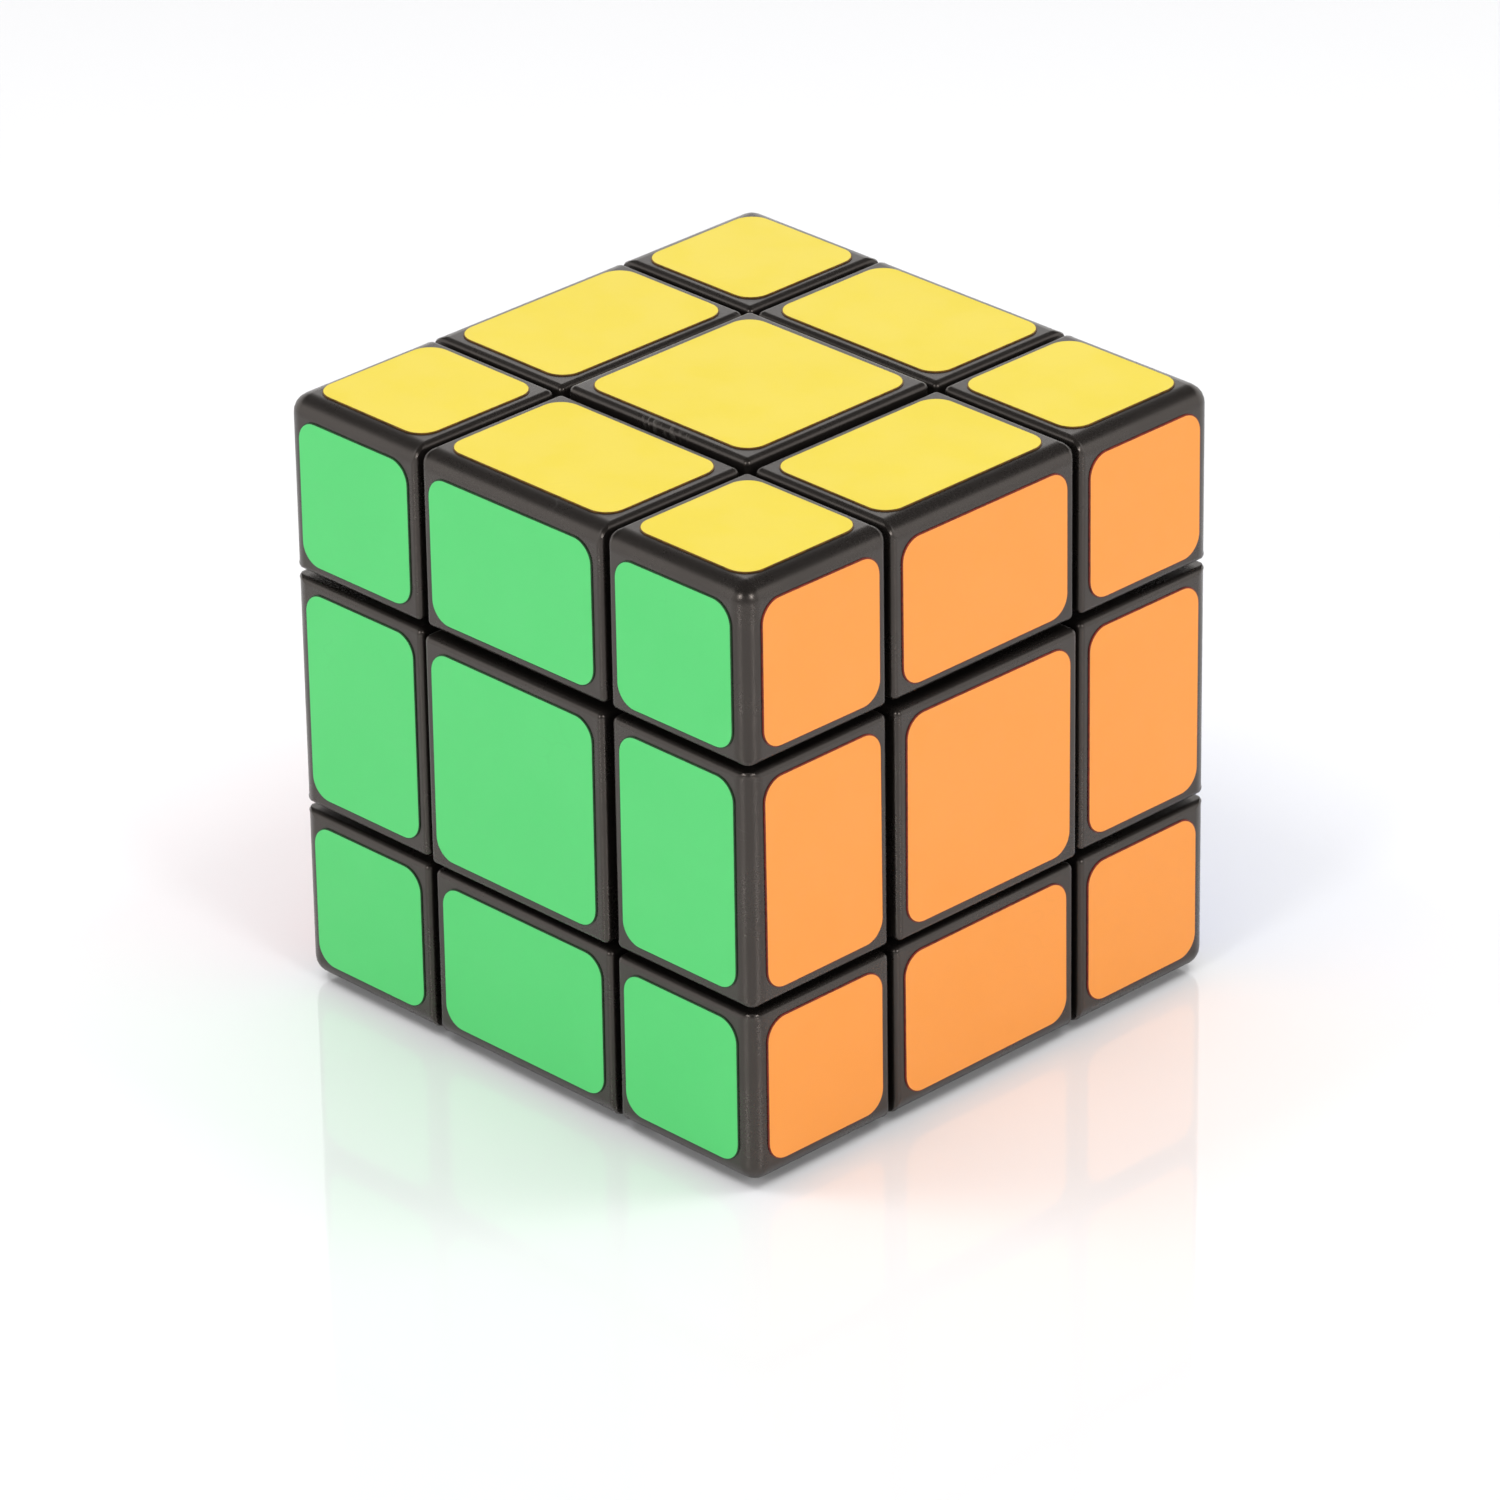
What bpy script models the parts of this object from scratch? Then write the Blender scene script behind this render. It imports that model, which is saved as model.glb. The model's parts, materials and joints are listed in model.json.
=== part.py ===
"""A 57 mm twisty puzzle cube with wide middle layers, as the loose pieces that it is assembled from.

Run it with: blender --background --python part.py

The cube's centre is the origin, +Z is up, the front face looks along -Y and the right face along +X.
Six layers turn about the three axes through the centre. Each layer's boundary is a surface of revolution
about its own axis: a flat cut plane outside, and inside LIP_RADIUS a disc that dips LIP_DEPTH further in.
A piece is the space that its own layers share, less the space of the layers that it is not in. So a corner
ends in a foot that hooks under its three edges, an edge's foot hooks under two centres, and six
spring-loaded screws hold the centres to the core.
"""

import math
from itertools import product

import bmesh
import bpy
from mathutils import Matrix, Vector

MM = 0.001

# Driving dimensions
CUBE_HALF = 28.5 * MM
CENTRE_RAISE = 0.4 * MM  # how far the centres stand proud of the cube's faces
CUT = 11.5 * MM  # from the centre to each cut plane, half the width of a middle layer
RUNNING_GAP = 0.7 * MM  # between pieces that slide past each other
FIT_GAP = 0.2 * MM  # between pieces that stay together
LIP_RADIUS = 20.5 * MM
LIP_DEPTH = 3.0 * MM
WALL = 1.6 * MM
OUTER_ROUND = 1.8 * MM  # radius of the cube's own edges
SEAM_ROUND = 0.6 * MM  # radius of the edges along the seams
ROUND_SEGMENTS = 3
LAYER_SEGMENTS = 48
MERGE_DISTANCE = 0.001 * MM
ON_FACE = 0.1 * MM  # how near a point lies to a face to count as on it
SMOOTH_BELOW = math.radians(35)  # edges sharper than this are shaded sharp

# Planes and radii that follow from them
BLOCK_LOW = CUT + RUNNING_GAP / 2  # where the block of an outer layer starts
MIDDLE_HALF = CUT - RUNNING_GAP / 2  # half the width of a middle layer's block
FOOT_LOW = BLOCK_LOW - LIP_DEPTH  # innermost plane of a foot
NECK_HALF = MIDDLE_HALF - LIP_DEPTH  # half the width left between two lip grooves
LIP_SPACE = LIP_RADIUS - RUNNING_GAP / 2
GROOVE_SPACE = LIP_RADIUS + RUNNING_GAP / 2
REACH = 1.6 * CUBE_HALF  # past the cube's corners

# Corner foot, which plugs into the corner shell
PLUG_HIGH = BLOCK_LOW + 6.6 * MM

# Mouth through which an edge's hollow opens towards the core
MOUTH_HALF = 3.0 * MM

# Centre body and its cap
CENTRE_TOP = CUBE_HALF + CENTRE_RAISE
CAP_LOW = CENTRE_TOP - 4.3 * MM
CAP_TOP_WALL = 1.5 * MM
CAP_RING_HALF = 9.2 * MM
CAP_RING_WALL = 1.3 * MM
CAP_RING_DEPTH = 1.5 * MM
CENTRE_FLOOR = 1.85 * MM

# Screw, washer and spring of each centre
SHANK_RADIUS = 1.5 * MM
THREAD_ROOT = 1.2 * MM
THREAD_PITCH = 1.2 * MM
THREADS = 4
SCREW_HOLE = 1.75 * MM
SCREW_HEAD_RADIUS = 2.9 * MM
SCREW_HEAD_HEIGHT = 2.2 * MM
# Shares of the head's radius, and of its height down from the top
SCREW_HEAD_DOME = ((0.65, 0.0), (0.93, 0.3))
SCREW_TIP = 3.9 * MM
SCREW_TIP_RADIUS = 1.05 * MM
RECESS_LENGTH = 3.2 * MM
RECESS_WIDTH = 0.8 * MM
RECESS_DEPTH = 1.2 * MM
WASHER_RADIUS = 4.4 * MM
WASHER_THICKNESS = 0.6 * MM
SPRING_LENGTH = 5.8 * MM
SPRING_RADIUS = 3.4 * MM  # of the wire's centreline
SPRING_WIRE = 0.35 * MM
SPRING_TURNS = 4.5
SPRING_STEPS = 11  # points in each turn
ROUND_STEPS = 16  # sides of the small turned pieces

# Core
HUB_HALF = 4.6 * MM
HUB_ROUND = 1.3 * MM
ARM_RADIUS = 3.3 * MM
ARM_HIGH = FOOT_LOW - 0.3 * MM
PILOT_LOW = 3.5 * MM
PILOT_RADIUS = SCREW_HOLE

SPRING_LOW = FOOT_LOW + CENTRE_FLOOR + FIT_GAP
WASHER_LOW = SPRING_LOW + SPRING_LENGTH + FIT_GAP
SCREW_HEAD_LOW = WASHER_LOW + WASHER_THICKNESS + FIT_GAP

FACES = {
    "top": Vector((0, 0, 1)),
    "bottom": Vector((0, 0, -1)),
    "front": Vector((0, -1, 0)),
    "back": Vector((0, 1, 0)),
    "left": Vector((-1, 0, 0)),
    "right": Vector((1, 0, 0)),
}
OPPOSITE = {"top": "bottom", "front": "back", "left": "right"}

PLASTICS = {  # colour, roughness, metallic
    "black_plastic": ((0.022, 0.020, 0.020), 0.42, 0.0),
    "core_plastic": ((0.55, 0.55, 0.53), 0.5, 0.0),
    "screw_steel": ((0.62, 0.61, 0.58), 0.3, 1.0),
    "spring_steel": ((0.70, 0.70, 0.70), 0.22, 1.0),
}


def clear_scene():
    for obj in list(bpy.data.objects):
        bpy.data.objects.remove(obj)


def new_collection(name):
    collection = bpy.data.collections.new(name)
    bpy.context.scene.collection.children.link(collection)
    return collection


def new_material(name):
    colour, roughness, metallic = PLASTICS[name]
    material = bpy.data.materials.new(name)
    material.use_nodes = True
    shader = material.node_tree.nodes["Principled BSDF"]
    shader.inputs["Base Color"].default_value = (*colour, 1)
    shader.inputs["Roughness"].default_value = roughness
    shader.inputs["Metallic"].default_value = metallic
    return material


def new_object(name, data, collection):
    obj = bpy.data.objects.new(name, data)
    collection.objects.link(obj)
    return obj


def object_from(bm, name, collection):
    mesh = bpy.data.meshes.new(name)
    bm.to_mesh(mesh)
    bm.free()
    return new_object(name, mesh, collection)


def box(name, low, high, collection):
    """A box between two opposite corners."""
    low, high = Vector(low), Vector(high)
    bm = bmesh.new()
    size = Matrix.Diagonal((*(high - low), 1))
    bmesh.ops.create_cube(bm, size=1, matrix=Matrix.Translation((low + high) / 2) @ size)
    return object_from(bm, name, collection)


def cylinder(name, radius, low, high, collection, segments=ROUND_STEPS):
    """A cylinder along Z between two heights."""
    bm = bmesh.new()
    bmesh.ops.create_cone(
        bm,
        cap_ends=True,
        segments=segments,
        radius1=radius,
        radius2=radius,
        depth=high - low,
        matrix=Matrix.Translation((0, 0, (low + high) / 2)),
    )
    return object_from(bm, name, collection)


def turned(name, profile, collection, steps=ROUND_STEPS):
    """A solid of revolution about Z. The profile's (radius, height) points run down its outer side."""
    bm = bmesh.new()
    points = [bm.verts.new((radius, 0, height)) for radius, height in profile]
    for first, second in zip(points, points[1:]):
        bm.edges.new((first, second))
    obj = object_from(bm, name, collection)
    screw = obj.modifiers.new("turn", "SCREW")
    screw.steps = screw.render_steps = steps
    screw.use_merge_vertices = True
    screw.merge_threshold = MERGE_DISTANCE
    return obj


def round_edges(obj, is_outer, outer_round=OUTER_ROUND, segments=ROUND_SEGMENTS):
    """Rounds a box's edges: those where is_outer says so by outer_round, and the others by SEAM_ROUND."""
    bm = bmesh.new()
    bm.from_mesh(obj.data)
    weights = bm.edges.layers.float.new("bevel_weight_edge")
    for edge in bm.edges:
        middle = (edge.verts[0].co + edge.verts[1].co) / 2
        edge[weights] = 1.0 if is_outer(middle) else SEAM_ROUND / outer_round
    bm.to_mesh(obj.data)
    bm.free()
    bevel = obj.modifiers.new("rounding", "BEVEL")
    bevel.limit_method = "WEIGHT"
    bevel.width = outer_round
    bevel.segments = segments


def on_outer_edge(point):
    """Is this the middle of one of the cube's own edges, where two faces of the cube meet?"""
    return sum(abs(abs(x) - CUBE_HALF) < ON_FACE for x in point) >= 2


def boolean(obj, operation, cutter):
    modifier = obj.modifiers.new(operation.lower(), "BOOLEAN")
    modifier.operation = operation
    modifier.solver = "EXACT"
    modifier.object = cutter


def cut(obj, *cutters):
    for cutter in cutters:
        boolean(obj, "DIFFERENCE", cutter)


def keep_inside(obj, *spaces):
    for space in spaces:
        boolean(obj, "INTERSECT", space)


def join(obj, *others):
    for other in others:
        boolean(obj, "UNION", other)


def finished_mesh(obj, material):
    """The evaluated mesh of a master object, shaded, with its material. The master is removed."""
    bpy.context.view_layer.update()
    graph = bpy.context.evaluated_depsgraph_get()
    mesh = bpy.data.meshes.new_from_object(obj.evaluated_get(graph))
    mesh.name = obj.name
    mesh.materials.clear()
    mesh.materials.append(material)
    mesh.shade_smooth()
    mesh.set_sharp_from_angle(angle=SMOOTH_BELOW)
    bpy.data.objects.remove(obj)
    return mesh


def facing(direction):
    """The rotation that turns +Z to a direction along an axis."""
    return Vector((0, 0, 1)).rotation_difference(direction).to_matrix().to_4x4()


def layer_space(name, radius, low_disc, low_plane, direction, collection):
    """What a turning layer sweeps: everything beyond a plane, and a disc that dips further in."""
    profile = [
        (0, REACH),
        (REACH, REACH),
        (REACH, low_plane),
        (radius, low_plane),
        (radius, low_disc),
        (0, low_disc),
    ]
    obj = turned(name, profile, collection, LAYER_SEGMENTS)
    obj.matrix_world = facing(direction)
    return obj


def layer_spaces(cutters):
    """For each face, the space its own pieces may fill, and the larger space other pieces keep out of."""
    own, foreign = {}, {}
    for face, direction in FACES.items():
        own[face] = layer_space(f"own_{face}", LIP_SPACE, FOOT_LOW, BLOCK_LOW, direction, cutters)
        foreign[face] = layer_space(
            f"foreign_{face}", GROOVE_SPACE, NECK_HALF, MIDDLE_HALF, direction, cutters
        )
    return own, foreign


def corner_meshes(cutters, material, own):
    """The shell and the foot of the corner at top, back and right."""
    shell = box("corner_shell", [BLOCK_LOW] * 3, [CUBE_HALF] * 3, cutters)
    round_edges(shell, on_outer_edge)
    hollow = box("corner_hollow", [BLOCK_LOW + WALL] * 3, [CUBE_HALF - WALL] * 3, cutters)
    notch = box("corner_notch", [FOOT_LOW] * 3, [PLUG_HIGH + FIT_GAP] * 3, cutters)
    cut(shell, hollow, notch)
    foot = box("corner_foot", [FOOT_LOW] * 3, [PLUG_HIGH] * 3, cutters)
    keep_inside(foot, own["top"], own["back"], own["right"])
    return finished_mesh(shell, material), finished_mesh(foot, material)


def edge_mesh(cutters, material, own, foreign):
    """The edge at top and back, a hollow block and its foot in one moulding."""
    block_high = (MIDDLE_HALF, CUBE_HALF, CUBE_HALF)
    edge = box("edge", (-MIDDLE_HALF, BLOCK_LOW, BLOCK_LOW), block_high, cutters)
    round_edges(edge, on_outer_edge)
    foot_low = (-NECK_HALF, FOOT_LOW, FOOT_LOW)
    foot_thick, foot_wide = BLOCK_LOW + 2 * WALL, LIP_RADIUS + WALL
    foot = box("edge_foot", foot_low, (NECK_HALF, foot_wide, foot_thick), cutters)
    upright = box("edge_foot_upright", foot_low, (NECK_HALF, foot_thick, foot_wide), cutters)
    join(foot, upright)
    keep_inside(foot, own["top"], own["back"])
    join(edge, foot)
    cut(edge, foreign["left"], foreign["right"])
    inner_half = NECK_HALF - WALL
    low, high = BLOCK_LOW + WALL, CUBE_HALF - WALL
    hollow = box("edge_hollow", (-inner_half, low, low), (inner_half, high, high), cutters)
    # Outside the lip grooves the hollow can be as wide as the block allows.
    wide_half = MIDDLE_HALF - WALL
    wide_low = (GROOVE_SPACE + WALL) / math.sqrt(2) + FIT_GAP
    wide = box("edge_hollow_wide", (-wide_half, wide_low, wide_low), (wide_half, high, high), cutters)
    mouth = box("edge_mouth", (-MOUTH_HALF, 0, 0), (MOUTH_HALF, low + WALL, low + WALL), cutters)
    cut(edge, hollow, wide, mouth)
    return finished_mesh(edge, material)


def centre_block(name, cutters):
    """The top centre's full block, which its body and its cap share."""
    block_low = (-MIDDLE_HALF, -MIDDLE_HALF, FOOT_LOW)
    block = box(name, block_low, (MIDDLE_HALF, MIDDLE_HALF, CENTRE_TOP), cutters)
    round_edges(block, on_outer_edge)
    return block


def square_prism(name, half, low, high, cutters):
    """A square bar around the Z axis."""
    return box(name, (-half, -half, low), (half, half, high), cutters)


def centre_body_mesh(cutters, material, foreign):
    """The top centre's body, which holds the spring in its pocket."""
    body = centre_block("centre", cutters)
    pocket_low = FOOT_LOW + CENTRE_FLOOR
    above = square_prism("above_body", REACH, CAP_LOW - FIT_GAP, 2 * REACH, cutters)
    pocket = square_prism("centre_pocket", NECK_HALF - WALL, pocket_low, REACH, cutters)
    seat_low = CAP_LOW - CAP_RING_DEPTH - FIT_GAP
    seat = square_prism("cap_seat", CAP_RING_HALF + FIT_GAP, seat_low, REACH, cutters)
    hole = cylinder("screw_hole", SCREW_HOLE, 0, pocket_low + WALL, cutters)
    cut(body, *[foreign[face] for face in ("left", "right", "front", "back")])
    cut(body, above, pocket, seat, hole)
    return finished_mesh(body, material)


def centre_cap_mesh(cutters, material):
    """The cap that closes the top centre, with the ring that plugs into its body."""
    cap = centre_block("centre_cap", cutters)
    below = square_prism("below_cap", REACH, -REACH, CAP_LOW, cutters)
    ring_low = CAP_LOW - CAP_RING_DEPTH
    ring = square_prism("cap_ring", CAP_RING_HALF, ring_low, CAP_LOW + WALL, cutters)
    hollow_half = CAP_RING_HALF - CAP_RING_WALL
    hollow = square_prism("cap_hollow", hollow_half, 0, CENTRE_TOP - CAP_TOP_WALL, cutters)
    cut(cap, below)
    join(cap, ring)
    cut(cap, hollow)
    return finished_mesh(cap, material)


def core_mesh(cutters, material):
    """The six-armed core, with a pilot hole for a screw in each arm."""
    core = box("core", [-HUB_HALF] * 3, [HUB_HALF] * 3, cutters)
    bevel = core.modifiers.new("rounding", "BEVEL")
    bevel.width = HUB_ROUND
    bevel.segments = ROUND_SEGMENTS
    for face in OPPOSITE:
        arm = cylinder(f"arm_{face}", ARM_RADIUS, -ARM_HIGH, ARM_HIGH, cutters)
        arm.matrix_world = facing(FACES[face])
        join(core, arm)
    for face, direction in FACES.items():
        pilot = cylinder(f"pilot_{face}", PILOT_RADIUS, PILOT_LOW, REACH, cutters)
        pilot.matrix_world = facing(direction)
        cut(core, pilot)
    return finished_mesh(core, material)


def screw_mesh(cutters, material):
    """A pan-head screw with a cross recess and a threaded end."""
    head_high = SCREW_HEAD_LOW + SCREW_HEAD_HEIGHT
    profile = [(0, head_high)]
    for out, down in SCREW_HEAD_DOME:
        profile.append((SCREW_HEAD_RADIUS * out, head_high - SCREW_HEAD_HEIGHT * down))
    profile += [(SCREW_HEAD_RADIUS, SCREW_HEAD_LOW), (SHANK_RADIUS, SCREW_HEAD_LOW)]
    for ridge in range(THREADS):
        height = SCREW_TIP + (THREADS - ridge) * THREAD_PITCH
        profile += [(SHANK_RADIUS, height), (THREAD_ROOT, height - THREAD_PITCH / 2)]
    profile += [(SCREW_TIP_RADIUS, SCREW_TIP), (0, SCREW_TIP)]
    screw = turned("screw", profile, cutters)
    low = head_high - RECESS_DEPTH
    for length, width in ((RECESS_LENGTH, RECESS_WIDTH), (RECESS_WIDTH, RECESS_LENGTH)):
        slot = box("recess", (-length / 2, -width / 2, low), (length / 2, width / 2, REACH), cutters)
        cut(screw, slot)
    return finished_mesh(screw, material)


def washer_mesh(cutters, material):
    high = WASHER_LOW + WASHER_THICKNESS
    washer = cylinder("washer", WASHER_RADIUS, WASHER_LOW, high, cutters)
    cut(washer, cylinder("washer_hole", SCREW_HOLE, 0, REACH, cutters))
    return finished_mesh(washer, material)


def spring_mesh(cutters, material):
    """A compression spring around the screw, between the centre's floor and the washer."""
    curve = bpy.data.curves.new("spring", "CURVE")
    curve.dimensions = "3D"
    curve.bevel_depth = SPRING_WIRE
    curve.bevel_resolution = 2
    curve.use_fill_caps = True
    spline = curve.splines.new("POLY")
    count = round(SPRING_TURNS * SPRING_STEPS)
    spline.points.add(count)
    rise = SPRING_LENGTH - 2 * SPRING_WIRE
    for step, point in enumerate(spline.points):
        share = step / count
        angle = share * SPRING_TURNS * math.tau
        height = SPRING_LOW + SPRING_WIRE + rise * share
        point.co = (SPRING_RADIUS * math.cos(angle), SPRING_RADIUS * math.sin(angle), height, 1)
    mesh = finished_mesh(new_object("spring", curve, cutters), material)
    bm = bmesh.new()
    bm.from_mesh(mesh)
    bmesh.ops.remove_doubles(bm, verts=bm.verts, dist=MERGE_DISTANCE)
    bm.to_mesh(mesh)
    bm.free()
    return mesh


def octant_rotation(signs):
    """The rotation that brings the corner at (+, +, +) to the corner with these signs."""
    quarter_turns = {(1, 1): 0, (-1, 1): 1, (-1, -1): 2, (1, -1): 3}
    x, y, z = signs
    if z > 0:
        return Matrix.Rotation(quarter_turns[x, y] * math.pi / 2, 4, "Z")
    # A half turn about X takes (+, +, +) to (+, -, -), so one more quarter turn is needed.
    flip = Matrix.Rotation(math.pi, 4, "X")
    return Matrix.Rotation((quarter_turns[x, y] + 1) * math.pi / 2, 4, "Z") @ flip


def edge_rotation(first, second):
    """The rotation that brings the edge between top and back to the edge between two faces."""
    up, out = FACES[first], FACES[second]
    along = out.cross(up)
    return Matrix((along, out, up)).transposed().to_4x4()


def place(name, mesh, rotation, collection, parent=None):
    """A piece turned into its place. Its own origin stays at the cube's centre, which all the axes pass."""
    obj = new_object(name, mesh, collection)
    obj.matrix_world = rotation
    if parent is not None:
        obj.parent = parent
        obj.matrix_parent_inverse = parent.matrix_world.inverted()
        bpy.context.view_layer.update()
    return obj


def place_centres(meshes, core, collection):
    """Each face's screw, and its centre with what turns with it."""
    centres = {}
    for face, direction in FACES.items():
        rotation = facing(direction)
        place(f"{face}_screw", meshes["screw"], rotation, collection, core)
        centre = place(f"{face}_centre", meshes["centre"], rotation, collection, core)
        for part in ("centre_cap", "spring", "washer"):
            place(f"{face}_{part}", meshes[part], rotation, collection, centre)
        centres[face] = centre
    return centres


def place_edges(meshes, centres, collection):
    """Each edge is a child of one of its two centres: the first face named here."""
    edges = {}
    pairs = [
        *product(("top", "bottom"), ("front", "back")),
        *product(("right", "left"), ("top", "bottom")),
        *product(("front", "back"), ("right", "left")),
    ]
    for first, second in pairs:
        rotation = edge_rotation(first, second)
        name = f"edge_{first}_{second}"
        edges[first, second] = place(name, meshes["edge"], rotation, collection, centres[first])
    return edges


def place_corners(meshes, edges, collection):
    for up, out, side in product(("top", "bottom"), ("front", "back"), ("right", "left")):
        signs = tuple(round(x) for x in FACES[up] + FACES[out] + FACES[side])
        rotation = octant_rotation(signs)
        name = f"corner_{up}_{out}_{side}"
        shell = place(f"{name}_shell", meshes["corner_shell"], rotation, collection, edges[up, out])
        place(f"{name}_foot", meshes["corner_foot"], rotation, collection, shell)


def main():
    clear_scene()
    cube = new_collection("puzzle_cube")
    cutters = new_collection("cutters")
    black, grey = new_material("black_plastic"), new_material("core_plastic")
    own, foreign = layer_spaces(cutters)
    meshes = {
        "screw": screw_mesh(cutters, new_material("screw_steel")),
        "washer": washer_mesh(cutters, new_material("spring_steel")),
    }
    meshes["spring"] = spring_mesh(cutters, meshes["washer"].materials[0])
    meshes["corner_shell"], meshes["corner_foot"] = corner_meshes(cutters, black, own)
    meshes["edge"] = edge_mesh(cutters, black, own, foreign)
    meshes["centre"] = centre_body_mesh(cutters, black, foreign)
    meshes["centre_cap"] = centre_cap_mesh(cutters, black)
    core = place("core", core_mesh(cutters, grey), Matrix.Identity(4), cube)
    for obj in cutters.objects:
        obj.hide_render = True
        obj.display_type = "WIRE"
    centres = place_centres(meshes, core, cube)
    edges = place_edges(meshes, centres, cube)
    place_corners(meshes, edges, cube)


main()
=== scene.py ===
"""The looks of the twisty puzzle cube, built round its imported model.

The black blocks that show are rebuilt with fine roundings in place of the CAD ones: eight corner shells,
twelve edges with the lip grooves and feet that turned layers uncover, and six centre caps. The hidden
working parts stay as packed and get finished materials. Each of the 54 fields carries a vinyl sticker,
and everything rides on the body of the piece that it belongs to, so it holds together at every pose.
"""

import json
import math
import random

import bmesh
import bpy
from mathutils import Matrix, Vector

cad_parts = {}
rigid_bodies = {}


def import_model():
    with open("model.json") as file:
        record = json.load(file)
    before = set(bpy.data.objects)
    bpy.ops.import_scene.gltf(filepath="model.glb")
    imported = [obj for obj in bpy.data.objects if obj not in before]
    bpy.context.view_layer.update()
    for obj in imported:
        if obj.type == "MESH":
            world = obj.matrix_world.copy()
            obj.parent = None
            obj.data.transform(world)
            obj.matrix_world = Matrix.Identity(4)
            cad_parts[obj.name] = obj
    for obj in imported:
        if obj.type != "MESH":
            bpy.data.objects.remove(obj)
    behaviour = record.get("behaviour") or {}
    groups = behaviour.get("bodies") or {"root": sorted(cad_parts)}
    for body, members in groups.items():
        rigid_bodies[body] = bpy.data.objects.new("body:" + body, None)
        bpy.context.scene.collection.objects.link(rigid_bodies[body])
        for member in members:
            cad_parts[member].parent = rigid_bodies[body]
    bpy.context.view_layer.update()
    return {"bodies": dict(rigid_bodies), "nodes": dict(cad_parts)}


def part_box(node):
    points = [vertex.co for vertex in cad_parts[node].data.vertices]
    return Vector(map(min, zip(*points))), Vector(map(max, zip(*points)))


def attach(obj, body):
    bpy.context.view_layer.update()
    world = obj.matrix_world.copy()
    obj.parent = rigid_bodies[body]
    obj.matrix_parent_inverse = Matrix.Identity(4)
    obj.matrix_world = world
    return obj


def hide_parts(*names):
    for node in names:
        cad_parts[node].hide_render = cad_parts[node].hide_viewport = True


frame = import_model()

MM = 0.001

# Block sizes that the CAD boxes don't give, as in the part
OUTER_ROUND = 1.8 * MM  # radius of the cube's own edges
SEAM_ROUND = 0.6 * MM  # radius of the edges along the seams
LIP_RADIUS = 20.5 * MM
FIT_GAP = 0.2 * MM
CAP_HEIGHT = 4.3 * MM
WALL = 1.6 * MM

# Block meshes
ROUND_SEGMENTS = 6
TURN_STEPS = 96
REACH = 46 * MM  # past the cube's corners, as seen along an axis
ON_FACE = 0.1 * MM  # how near a point lies to a face to count as on it
MERGE_DISTANCE = 0.001 * MM
SMOOTH_BELOW = math.radians(30)

# Stickers
STICKER_THICKNESS = 0.13 * MM
STICKER_ROUND = 2.1 * MM
STICKER_ARC_STEPS = 10
STICKER_MARGIN = 0.94 * MM  # from a block's inner side to its sticker
CENTRE_MARGIN = 1.02 * MM
OUTER_MARGIN = 1.73 * MM  # from the cube's own edge to the sticker
RIM_WIDTH = 0.11 * MM  # the cut edge, darker than the sticker's face from glue and from painted shade
RIM_DROP = 0.05 * MM  # how far the rim slopes down from the sticker's face
RIM_SMOOTH_BELOW = math.radians(15)
PLACING_ERROR = 0.07 * MM
TURNING_ERROR = math.radians(0.25)

FACES = {
    "top": Vector((0, 0, 1)),
    "bottom": Vector((0, 0, -1)),
    "front": Vector((0, -1, 0)),
    "back": Vector((0, 1, 0)),
    "left": Vector((-1, 0, 0)),
    "right": Vector((1, 0, 0)),
}

STICKER_COLOURS = {  # face colour, and the darker colour of the cut edge: darkened by glue and dust, and by painted shade for the shadow along the edge
    "top": ((0.62, 0.484, 0.003), (0.12, 0.055, 0.006)),
    "front": ((0.08, 0.64, 0.162), (0.003, 0.045, 0.008)),
    "right": ((0.96, 0.335, 0.048), (0.20, 0.014, 0.004)),
    "bottom": ((0.80, 0.80, 0.78), (0.15, 0.15, 0.14)),
    "back": ((0.015, 0.10, 0.55), (0.003, 0.010, 0.07)),
    "left": ((0.60, 0.018, 0.022), (0.07, 0.004, 0.005)),
}

# Other colours
BLACK = (0.0075, 0.0063, 0.0056)
BLACK_HANDLED = (0.0105, 0.009, 0.0082)
BLACK_SCRATCH = (0.045, 0.043, 0.041)
BLACK_SCUFF = (0.055, 0.05, 0.045)
WARM_GLOSS = (1.0, 0.88, 0.80)
CORE_GREY = (0.50, 0.50, 0.485)
CORE_DUST = (0.60, 0.60, 0.58)
ZINC = (0.62, 0.61, 0.58)
SPRING_STEEL = (0.70, 0.70, 0.70)
FLOOR_WHITE = (0.775, 0.775, 0.785)

# Hairline scratches: the width and stretch of their noise, and the patches that break them up
HAIRLINE_WIDTH = 0.012
HAIRLINE_STRETCH = 0.03
PATCHES_PER_LINE = 0.35
PATCH_FADE = 0.08

# The scuffed patch on the top cap: along each axis, where it fades, and its strength before and after
SCUFF_FADES = (
    ("X", -2.4 * MM, -1.2 * MM, 0, 1),
    ("X", 3.2 * MM, 4.2 * MM, 1, 0),
    ("Y", -10.9 * MM, -10.6 * MM, 1, 0),
    ("Z", 27.8 * MM, 28.3 * MM, 0, 1),
)

# Camera, with its azimuth and elevation in degrees
AZIMUTH = 45.77
ELEVATION = 26.5
DISTANCE = 795 * MM
LENS = 216.4
SENSOR = 36
YAW = math.radians(-0.027)
PITCH = math.radians(-0.431)
ROLL = math.radians(-0.886)
CLIP_NEAR, CLIP_FAR = 0.01, 50

# Studio. The sweep's brightness by height (the sine of the elevation), and from in front (0) to behind (1)
SWEEP_BRIGHTNESS = 1.5
SWEEP_BY_HEIGHT = ((0.0, 1.0), (0.48, 1.0), (0.58, 0.06), (1.0, 0.03))
SWEEP_BY_SIDE = ((0.0, 0.2), (0.2, 0.35), (0.5, 0.9), (1.0, 1.0))
FLOOR_REACH = 6  # each way from the cube
FLOOR_CELLS = 8
FLOOR_LIGHT_OUT = 0.22
FLOOR_LIGHT_HEIGHT = 0.3464

random.seed(57)


# Blocks


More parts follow.
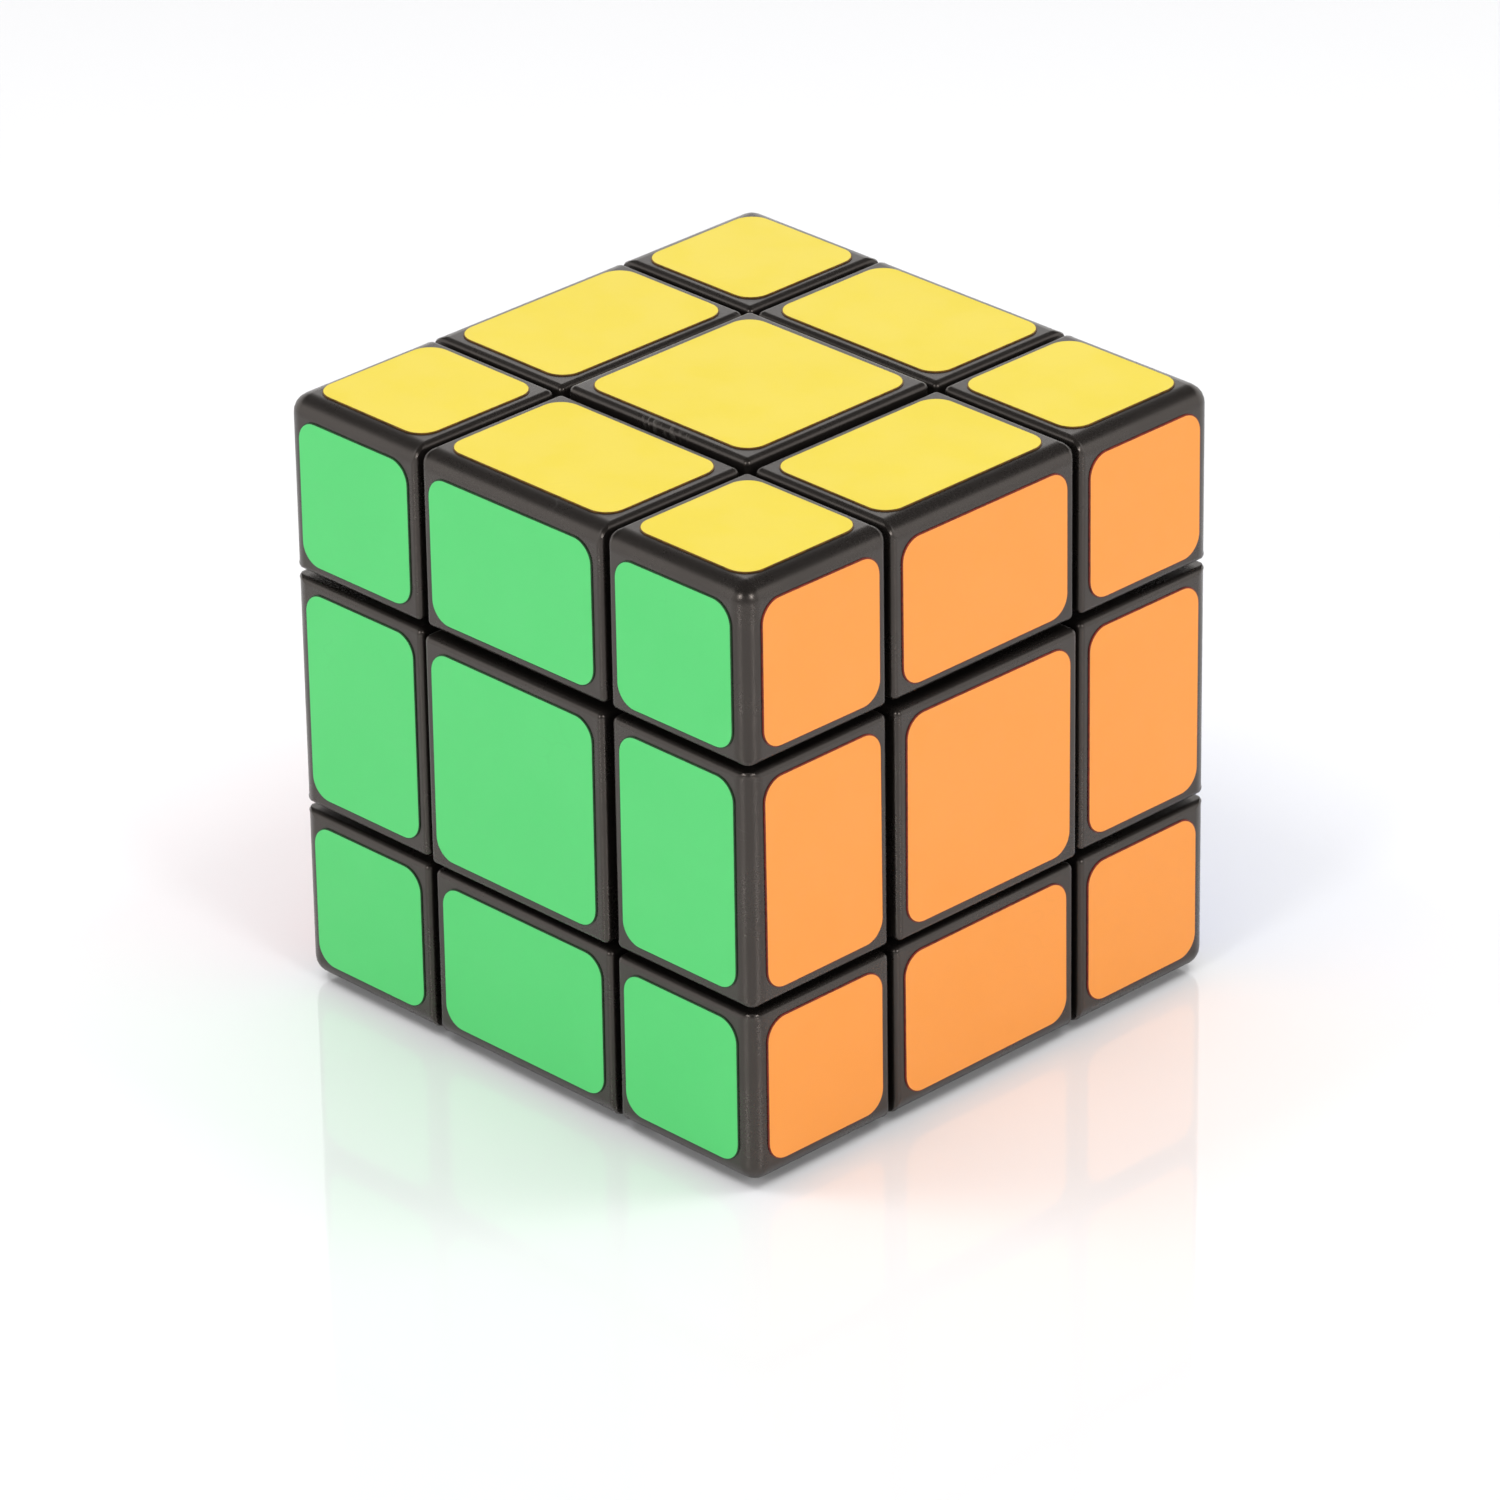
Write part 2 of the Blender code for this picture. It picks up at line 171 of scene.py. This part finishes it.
def object_from(bm, name):
    mesh = bpy.data.meshes.new(name)
    bm.to_mesh(mesh)
    bm.free()
    obj = bpy.data.objects.new(name, mesh)
    bpy.context.scene.collection.objects.link(obj)
    return obj


def box(name, low, high):
    low, high = Vector(low), Vector(high)
    bm = bmesh.new()
    size = Matrix.Diagonal((*(high - low), 1))
    bmesh.ops.create_cube(bm, size=1, matrix=Matrix.Translation((low + high) / 2) @ size)
    return object_from(bm, name)


def rounded_box(name, low, high, cube_half):
    """A box with its edges rounded: wide where two faces of the cube meet, and narrow along the seams."""
    obj = box(name, low, high)
    bm = bmesh.new()
    bm.from_mesh(obj.data)
    weights = bm.edges.layers.float.new("bevel_weight_edge")
    for edge in bm.edges:
        middle = (edge.verts[0].co + edge.verts[1].co) / 2
        on_faces = sum(abs(abs(x) - cube_half) < ON_FACE for x in middle)
        edge[weights] = 1.0 if on_faces >= 2 else SEAM_ROUND / OUTER_ROUND
    bm.to_mesh(obj.data)
    bm.free()
    bevel = obj.modifiers.new("rounding", "BEVEL")
    bevel.limit_method = "WEIGHT"
    bevel.width = OUTER_ROUND
    bevel.segments = ROUND_SEGMENTS
    return obj


def facing(direction):
    return Vector((0, 0, 1)).rotation_difference(direction).to_matrix().to_4x4()


def layer_space(name, radius, low_disc, low_plane, direction):
    """What a turning layer sweeps: everything beyond a plane, and a disc that dips further in."""
    above = [(0, REACH), (REACH, REACH)]
    below = [(REACH, low_plane), (radius, low_plane), (radius, low_disc), (0, low_disc)]
    bm = bmesh.new()
    points = [bm.verts.new((r, 0, z)) for r, z in above + below]
    for first, second in zip(points, points[1:]):
        bm.edges.new((first, second))
    obj = object_from(bm, name)
    screw = obj.modifiers.new("turn", "SCREW")
    screw.steps = screw.render_steps = TURN_STEPS
    screw.use_merge_vertices = True
    screw.merge_threshold = MERGE_DISTANCE
    obj.matrix_world = facing(direction)
    return obj


def combine(obj, operation, *others):
    for other in others:
        modifier = obj.modifiers.new(operation.lower(), "BOOLEAN")
        modifier.operation = operation
        modifier.solver = "EXACT"
        modifier.object = other


def finished_mesh(obj, helpers):
    """The evaluated mesh of a master object. The master and its helpers are removed."""
    bpy.context.view_layer.update()
    graph = bpy.context.evaluated_depsgraph_get()
    mesh = bpy.data.meshes.new_from_object(obj.evaluated_get(graph))
    mesh.materials.clear()
    mesh.shade_smooth()
    mesh.set_sharp_from_angle(angle=SMOOTH_BELOW)
    for used in (obj, *helpers):
        bpy.data.objects.remove(used)
    return mesh


def corner_mesh(sizes):
    """The corner shell at top, back and right, with the notch that its foot plugs into."""
    high = sizes["cube_half"]
    shell = rounded_box("corner", [sizes["block_low"]] * 3, [high] * 3, high)
    notch = box("notch", [0] * 3, [sizes["plug_high"] + FIT_GAP] * 3)
    combine(shell, "DIFFERENCE", notch)
    return finished_mesh(shell, [notch])


def edge_mesh(sizes):
    """The edge at top and back: its block, its foot, and a lip groove in each end."""
    half, low, high = sizes["middle_half"], sizes["block_low"], sizes["cube_half"]
    foot_low, foot_high = sizes["foot_low"], low + 2 * WALL
    neck = half - (low - foot_low)  # half the foot's length, between the grooves
    gap = low - half
    reach = LIP_RADIUS + WALL
    edge = rounded_box("edge", (-half, low, low), (half, high, high), high)
    foot = box("foot", (-neck, foot_low, foot_low), (neck, reach, foot_high))
    upright = box("upright", (-neck, foot_low, foot_low), (neck, foot_high, reach))
    own = [
        layer_space("own", LIP_RADIUS - gap / 2, foot_low, low, FACES[face])
        for face in ("top", "back")
    ]
    grooves = [
        layer_space("groove", LIP_RADIUS + gap / 2, neck, half + FIT_GAP, FACES[face])
        for face in ("left", "right")
    ]
    combine(foot, "UNION", upright)
    combine(foot, "INTERSECT", *own)
    combine(edge, "UNION", foot)
    combine(edge, "DIFFERENCE", *grooves)
    return finished_mesh(edge, [foot, upright, *own, *grooves])


def cap_mesh(sizes):
    """The cap of the top centre."""
    half, top = sizes["middle_half"], sizes["centre_top"]
    cap = rounded_box("cap", (-half, -half, 0), (half, half, top), sizes["cube_half"])
    below = box("below", [-REACH] * 3, (REACH, REACH, top - CAP_HEIGHT))
    combine(cap, "DIFFERENCE", below)
    return finished_mesh(cap, [below])


def orientation(faces):
    """The rotation that brings a master from its own faces, the top, back and right in order, to these."""
    directions = [FACES[face] for face in faces]
    up = directions[0]
    out = directions[1] if len(directions) > 1 else up.yzx
    along = out.cross(up)
    if len(directions) == 3 and along != directions[2]:  # the other hand, so a corner's faces trade places
        up, out = out, up
        along = directions[2]
    return Matrix((along, out, up)).transposed().to_4x4()


def faces_of(body):
    return [word for word in body.split("_") if word in FACES]


def measured_sizes():
    """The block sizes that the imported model's own boxes give."""
    shell_low, shell_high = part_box("corner_top_back_right_shell")
    foot_low, foot_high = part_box("corner_top_back_right_foot")
    cap_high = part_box("top_centre_cap")[1]
    return {
        "block_low": shell_low.x,
        "cube_half": shell_high.x,
        "foot_low": foot_low.x,
        "plug_high": foot_high.x,
        "middle_half": cap_high.x,
        "centre_top": cap_high.z,
    }


def add_piece(name, mesh, body, materials):
    obj = bpy.data.objects.new(name, mesh)
    bpy.context.scene.collection.objects.link(obj)
    for material in materials:
        mesh.materials.append(material)
    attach(obj, body)
    return obj


def add_blocks(sizes, materials):
    """A block for every corner, edge and centre, each with its own mesh in its place."""
    masters = {1: cap_mesh(sizes), 2: edge_mesh(sizes), 3: corner_mesh(sizes)}
    for body in frame["bodies"]:
        faces = faces_of(body)
        if not faces:
            continue
        mesh = masters[len(faces)].copy()
        mesh.transform(orientation(faces))
        node = {1: f"{faces[0]}_centre_cap", 2: body, 3: f"{body}_shell"}[len(faces)]
        material = materials["scuffed" if node == "top_centre_cap" else "black"]
        block = add_piece(f"{node}.block", mesh, body, [material])
        block.modifiers.new("flat faces stay flat", "WEIGHTED_NORMAL").keep_sharp = True
        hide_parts(node)


# Stickers


def sticker_outline(half_width, half_height, inset):
    """A rectangle with round corners, run through anticlockwise."""
    radius = STICKER_ROUND - inset
    points = []
    for quarter, (x, y) in enumerate(((1, 1), (-1, 1), (-1, -1), (1, -1))):
        centre = Vector((x * (half_width - STICKER_ROUND), y * (half_height - STICKER_ROUND)))
        for step in range(STICKER_ARC_STEPS + 1):
            angle = (quarter + step / STICKER_ARC_STEPS) * math.pi / 2
            points.append(centre + radius * Vector((math.cos(angle), math.sin(angle))))
    return points


def sticker_mesh(half_width, half_height, place):
    """A thin vinyl plate whose cut edge, a sloping rim and the wall below it, takes the second material."""
    bm = bmesh.new()
    rings = []
    for inset, height in ((0, 0), (0, STICKER_THICKNESS - RIM_DROP), (RIM_WIDTH, STICKER_THICKNESS)):
        outline = sticker_outline(half_width, half_height, inset)
        rings.append([bm.verts.new((p.x, p.y, height)) for p in outline])
    bm.faces.new(rings[-1])
    bm.faces.new(rings[0][::-1])
    for lower, upper in zip(rings, rings[1:]):
        for here, there in zip(range(-1, len(lower) - 1), range(len(lower))):
            rim = bm.faces.new((lower[here], lower[there], upper[there], upper[here]))
            rim.material_index = 1
    bm.transform(place)
    mesh = bpy.data.meshes.new("sticker")
    bm.to_mesh(mesh)
    bm.free()
    mesh.shade_smooth()
    mesh.set_sharp_from_angle(angle=RIM_SMOOTH_BELOW)
    return mesh


def add_stickers(sizes, materials):
    """Nine stickers on each face. Each one is found by the faces that its piece belongs to."""
    body_of = {frozenset(faces_of(body)): body for body in frame["bodies"]}
    name_of = {tuple(direction): face for face, direction in FACES.items()}
    outer_low, outer_high = sizes["block_low"] + STICKER_MARGIN, sizes["cube_half"] - OUTER_MARGIN
    outer_middle, outer_half = (outer_low + outer_high) / 2, (outer_high - outer_low) / 2
    centre_half = sizes["middle_half"] - CENTRE_MARGIN
    for face, up in FACES.items():
        across = up.yzx
        along = across.cross(up)
        for i in (-1, 0, 1):
            for j in (-1, 0, 1):
                neighbours = [name_of[tuple(along * i)]] if i else []
                neighbours += [name_of[tuple(across * j)]] if j else []
                body = body_of[frozenset([face, *neighbours])]
                shift = Vector([random.uniform(-PLACING_ERROR, PLACING_ERROR) for _ in range(2)])
                x, y = i * outer_middle + shift.x, j * outer_middle + shift.y
                height = sizes["cube_half"] if neighbours else sizes["centre_top"]
                place = Matrix.Translation(up * height + along * x + across * y)
                place @= Matrix((along, across, up)).transposed().to_4x4()
                place @= Matrix.Rotation(random.uniform(-TURNING_ERROR, TURNING_ERROR), 4, "Z")
                half_width = outer_half if i else centre_half
                half_height = outer_half if j else centre_half
                mesh = sticker_mesh(half_width, half_height, place)
                name = "_".join(["sticker", face, *neighbours])
                add_piece(name, mesh, body, materials[face])


# Materials


def colour_sockets(sockets):
    """Those of a Mix node's sockets that are for colours. It has others for numbers and vectors."""
    return [socket for socket in sockets if socket.type == "RGBA"]


class Nodes:
    """Adds nodes to the tree of a material or of the world."""

    def __init__(self, owner, coordinates):
        owner.use_nodes = True
        self.tree = owner.node_tree
        self.place = self.node("TexCoord").outputs[coordinates]

    def give(self, socket, value):
        """Links another node's output to a socket, or sets the socket to a value."""
        if isinstance(value, bpy.types.NodeSocket):
            self.tree.links.new(value, socket)
        elif socket.type == "RGBA":
            socket.default_value = (*value, 1)
        else:
            socket.default_value = value

    def node(self, kind, *inputs, settings=None, **named_inputs):
        """A node with its settings, and its inputs, in order or by name, either linked or set."""
        node = self.tree.nodes.new(f"ShaderNode{kind}")
        for key, value in (settings or {}).items():
            setattr(node, key, value)
        for key, value in (*enumerate(inputs), *named_inputs.items()):
            self.give(node.inputs[key], value)
        return node

    def math(self, operation, *values):
        return self.node("Math", *values, settings={"operation": operation}).outputs[0]

    def mix_colours(self, factor, first, second, blend="MIX"):
        node = self.node("Mix", factor, settings={"data_type": "RGBA", "blend_type": blend})
        for socket, colour in zip(colour_sockets(node.inputs), (first, second)):
            self.give(socket, colour)
        return colour_sockets(node.outputs)[0]


class Shader(Nodes):
    """A Principled material, set where it is even, and the nodes that feed the rest."""

    def __init__(self, name, **even):
        self.material = bpy.data.materials.new(name)
        super().__init__(self.material, "Object")
        self.surface = self.tree.nodes["Principled BSDF"]
        self.feed(**even)

    def feed(self, **sockets):
        for name, value in sockets.items():
            self.give(self.surface.inputs[name.replace("_", " ")], value)

    def noise(self, per_metre, detail=2.0, roughness=0.5, place=None):
        """A soft noise about 0.5, with this many lumps to a metre."""
        place = self.place if place is None else place
        inputs = {"Scale": per_metre, "Detail": detail, "Roughness": roughness}
        return self.node("TexNoise", place, **inputs).outputs[0]

    def between(self, value, low, high, to_low=0.0, to_high=1.0):
        """The value's step from low to high, smoothly mapped to another range."""
        settings = {"interpolation_type": "SMOOTHSTEP"}
        limits = {"From Min": low, "From Max": high, "To Min": to_low, "To Max": to_high}
        return self.node("MapRange", value, settings=settings, **limits).outputs[0]

    def bump(self, height, strength, distance, under=None):
        """The surface's normal with a bump on it, which may lie on top of another one."""
        node = self.node("Bump", Height=height, Strength=strength, Distance=distance)
        if under is not None:
            self.give(node.inputs["Normal"], under)
        return node.outputs[0]

    def streaks(self, rotation, scale):
        """Places that are turned and then scaled unevenly, so that a noise there runs in streaks."""
        turned = self.node("Mapping", self.place, Rotation=rotation).outputs[0]
        return self.node("Mapping", turned, Scale=scale).outputs[0]

    def hairlines(self, angle, spacing, share):
        """Sparse fine scratches: thin level lines of a stretched noise, broken up by a coarse one."""
        place = self.streaks(rotation=(angle, angle / 2, angle), scale=(1, HAIRLINE_STRETCH, 1))
        lines = self.noise(1 / spacing, detail=1.0, place=place)
        off_line = self.math("ABSOLUTE", self.math("SUBTRACT", lines, 0.5))
        line = self.between(off_line, 0.0, HAIRLINE_WIDTH, to_low=1.0, to_high=0.0)
        coarse = self.noise(PATCHES_PER_LINE / spacing)
        patches = self.between(coarse, 1 - share, 1 - share + PATCH_FADE)
        return self.math("MULTIPLY", line, patches)


def scaled(colour, factor):
    return tuple(factor * x for x in colour)


def black_plastic(name, scuffed=False):
    """Satin moulded ABS: a fine eroded skin, handling sheen in patches, and a few hairlines."""
    shader = Shader(name, IOR=1.67, Specular_Tint=WARM_GLOSS)
    handled = shader.between(shader.noise(per_metre=130, detail=3.0), 0.35, 0.7)
    grain = shader.noise(per_metre=4200, roughness=0.6)
    scratches = shader.hairlines(angle=0.7, spacing=2.2 * MM, share=0.36)
    colour = shader.mix_colours(handled, BLACK, BLACK_HANDLED)
    colour = shader.mix_colours(shader.math("MULTIPLY", scratches, 0.4), colour, BLACK_SCRATCH)
    roughness = shader.between(handled, 0, 1, to_low=0.33, to_high=0.28)
    roughness = shader.math("ADD", roughness, shader.math("MULTIPLY", scratches, 0.12))
    roughness = shader.math("ADD", roughness, shader.between(grain, 0.3, 0.7, to_low=-0.03, to_high=0.03))
    waves = shader.bump(shader.noise(per_metre=420, detail=1.0), strength=0.10, distance=0.03 * MM)
    skin = shader.bump(grain, strength=0.16, distance=0.012 * MM, under=waves)
    if scuffed:
        colour, skin = add_scuff(shader, colour, skin)
    shader.feed(Base_Color=colour, Roughness=roughness, Normal=skin)
    return shader.material


def add_scuff(shader, colour, skin):
    """A patch of short slanting scratches on the rounding at the front of the top cap."""
    place = shader.node("SeparateXYZ", shader.place)
    near = 1.0
    for axis, start, end, before, after in SCUFF_FADES:
        fade = shader.between(place.outputs[axis], start, end, before, after)
        near = shader.math("MULTIPLY", fade, near)
    slanted = shader.streaks(rotation=(0, 0.5, 0), scale=(1, 0.1, 0.16))
    strokes = shader.between(shader.noise(per_metre=3200, detail=1.0, place=slanted), 0.52, 0.62)
    strokes = shader.math("MULTIPLY", strokes, near)
    colour = shader.mix_colours(shader.math("MULTIPLY", strokes, 0.6), colour, BLACK_SCUFF)
    return colour, shader.bump(strokes, strength=0.6, distance=0.04 * MM, under=skin)


def vinyl(face, colour):
    """Sticker film: almost even colour with faint clouding, a very fine orange peel, and rare hairlines."""
    shader = Shader(f"vinyl_{face}", IOR=1.46)
    clouds = shader.between(shader.noise(per_metre=95, detail=4.0, roughness=0.6), 0.3, 0.7)
    pale = tuple(min(1, 0.995 * x + 0.004) for x in colour)
    tint = shader.mix_colours(clouds, scaled(colour, 0.985), pale)
    rubbed = shader.hairlines(angle=1.9, spacing=3.5 * MM, share=0.4)
    tint = shader.mix_colours(shader.math("MULTIPLY", rubbed, 0.10), tint, scaled(colour, 0.8))
    peel = shader.bump(shader.noise(per_metre=1500, detail=1.0), strength=0.05, distance=0.02 * MM)
    shader.feed(
        Base_Color=tint,
        Roughness=shader.between(shader.noise(per_metre=260), 0.3, 0.7, to_low=0.29, to_high=0.37),
        Normal=shader.bump(shader.noise(per_metre=170, detail=1.0), 0.06, 0.05 * MM, under=peel),
    )
    return shader.material


def vinyl_edge(face, colour):
    """The cut edge of the film, darker from the adhesive and dust, and with painted shade for the shadow
    along the edge.
    """
    shader = Shader(f"vinyl_edge_{face}", Roughness=0.5, IOR=1.46)
    dust = shader.between(shader.noise(per_metre=1800, detail=3.0), 0.35, 0.65)
    shader.feed(Base_Color=shader.mix_colours(dust, colour, scaled(colour, 0.6)))
    return shader.material


def core_plastic():
    """Grey moulded plastic with a dry, slightly dusty skin."""
    shader = Shader("core_plastic", IOR=1.5)
    dust = shader.between(shader.noise(per_metre=350, detail=4.0), 0.4, 0.7)
    shader.feed(
        Base_Color=shader.mix_colours(dust, CORE_GREY, CORE_DUST),
        Roughness=shader.between(dust, 0, 1, to_low=0.42, to_high=0.58),
        Normal=shader.bump(shader.noise(per_metre=2600), strength=0.2, distance=0.02 * MM),
    )
    return shader.material


def steel(name, colour, roughness, grain_per_metre):
    """Turned or drawn steel: clouded, with a fine grain."""
    shader = Shader(name, Metallic=1.0)
    clouds = shader.between(shader.noise(per_metre=900, detail=3.0), 0.35, 0.7)
    shader.feed(
        Base_Color=shader.mix_colours(clouds, colour, scaled(colour, 0.8)),
        Roughness=shader.between(clouds, 0, 1, to_low=roughness - 0.06, to_high=roughness + 0.1),
        Normal=shader.bump(shader.noise(grain_per_metre), strength=0.25, distance=0.01 * MM),
    )
    return shader.material


def floor_material():
    """Glossy white acrylic with a barely uneven surface."""
    shader = Shader("white_acrylic", Base_Color=FLOOR_WHITE, IOR=1.5)
    unevenness = shader.noise(per_metre=40, detail=3.0)
    shader.feed(Roughness=shader.between(unevenness, 0.3, 0.7, to_low=0.03, to_high=0.05))
    return shader.material


def make_materials():
    materials = {
        "black": black_plastic("black_abs"),
        "scuffed": black_plastic("black_abs_scuffed", scuffed=True),
        "core": core_plastic(),
        "screw": steel("zinc_plated_steel", ZINC, roughness=0.3, grain_per_metre=3000),
        "spring": steel("spring_steel", SPRING_STEEL, roughness=0.2, grain_per_metre=5000),
    }
    # each sticker's edge colour is partly painted shade for the shadow along its cut edge
    for face, (colour, edge) in STICKER_COLOURS.items():
        materials[face] = [vinyl(face, colour), vinyl_edge(face, edge)]
    return materials


def finish_cad_nodes(materials):
    """Materials for the CAD nodes that stay: working parts, seen in the gaps and in part-turned layers."""
    kinds = {"core": "core", "screw": "screw", "spring": "spring", "washer": "spring"}
    for name, node in frame["nodes"].items():
        material = materials[kinds.get(name.split("_")[-1], "black")]
        node.data.materials.clear()
        node.data.materials.append(material)


# Studio


def direction_to(azimuth, elevation):
    """From the cube towards an azimuth, counted like the camera's, and an elevation, both in degrees."""
    azimuth, elevation = math.radians(azimuth), math.radians(elevation)
    level = math.cos(elevation)
    return Vector((math.sin(azimuth) * level, -math.cos(azimuth) * level, math.sin(elevation)))


def add_floor(height):
    bm = bmesh.new()
    bmesh.ops.create_grid(
        bm,
        x_segments=FLOOR_CELLS,
        y_segments=FLOOR_CELLS,
        size=FLOOR_REACH,
        matrix=Matrix.Translation((0, 0, height)),
    )
    floor = object_from(bm, "floor")
    floor.data.materials.append(floor_material())


def brightness_ramp(nodes, value, stops):
    ramp = nodes.node("ValToRGB", value)
    elements = ramp.color_ramp.elements
    while len(elements) < len(stops):
        elements.new(0.5)
    for element, (position, brightness) in zip(elements, stops):
        element.position = position
        element.color = (brightness, brightness, brightness, 1)
    return ramp.outputs["Color"]


def add_world():
    """A white sweep up to about 30 degrees, brightest behind the cube, and a dim room above it."""
    world = bpy.data.worlds.new("studio")
    bpy.context.scene.world = world
    nodes = Nodes(world, "Generated")
    height = nodes.node("SeparateXYZ", nodes.place).outputs["Z"]
    backwards = -direction_to(AZIMUTH, 0)
    behind = nodes.node("VectorMath", nodes.place, backwards, settings={"operation": "DOT_PRODUCT"})
    side = nodes.math("MULTIPLY_ADD", behind.outputs["Value"], 0.5, 0.5)
    by_height = brightness_ramp(nodes, height, SWEEP_BY_HEIGHT)
    by_side = brightness_ramp(nodes, side, SWEEP_BY_SIDE)
    background = nodes.tree.nodes["Background"]
    nodes.give(background.inputs["Color"], nodes.mix_colours(1, by_height, by_side, blend="MULTIPLY"))
    nodes.give(background.inputs["Strength"], SWEEP_BRIGHTNESS)


def add_light(name, place, width, height, power):
    """An area light that shines straight down."""
    light = bpy.data.lights.new(name, "AREA")
    light.shape = "RECTANGLE"
    light.size, light.size_y = width, height
    light.energy = power
    obj = bpy.data.objects.new(name, light)
    bpy.context.scene.collection.objects.link(obj)
    obj.location = place
    return obj


def add_softbox(name, azimuth, elevation, distance, width, height, power):
    """An area light that faces the cube."""
    place = direction_to(azimuth, elevation) * distance
    obj = add_light(name, place, width, height, power)
    obj.rotation_euler = (-place).to_track_quat("-Z", "Y").to_euler()
    return obj


def add_lights():
    """A softbox for each side face in view, a fill above, and a small light for the floor at each side."""
    for name, azimuth in (("left_softbox", 10), ("right_softbox", 81)):
        add_softbox(name, azimuth, elevation=25, distance=1.4, width=0.28, height=0.45, power=4.5)
    fill = add_softbox("overhead_fill", 45, elevation=80, distance=0.9, width=1.0, height=1.0, power=6.0)
    fill.visible_glossy = False
    for name, azimuth in (("left_floor_light", -44), ("right_floor_light", 136)):
        place = direction_to(azimuth, 0) * FLOOR_LIGHT_OUT + Vector((0, 0, FLOOR_LIGHT_HEIGHT))
        light = add_light(name, place, width=0.12, height=0.12, power=0.5)
        light.visible_glossy = False


def add_camera():
    camera = bpy.data.cameras.new("camera")
    camera.lens = LENS
    camera.sensor_width = SENSOR
    camera.clip_start, camera.clip_end = CLIP_NEAR, CLIP_FAR
    obj = bpy.data.objects.new("camera", camera)
    bpy.context.scene.collection.objects.link(obj)
    back = direction_to(AZIMUTH, ELEVATION)
    right = direction_to(AZIMUTH + 90, 0)
    turn = Matrix((right, back.cross(right), back)).transposed().to_4x4()
    tilt = Matrix.Rotation(-YAW, 4, "Y") @ Matrix.Rotation(PITCH, 4, "X") @ Matrix.Rotation(ROLL, 4, "Z")
    obj.matrix_world = Matrix.Translation(back * DISTANCE) @ turn @ tilt
    bpy.context.scene.camera = obj


sizes = measured_sizes()
materials = make_materials()
finish_cad_nodes(materials)
add_blocks(sizes, materials)
add_stickers(sizes, materials)
add_floor(-sizes["centre_top"] - STICKER_THICKNESS)
add_world()
add_lights()
add_camera()
bpy.context.scene.view_settings.view_transform = "Standard"
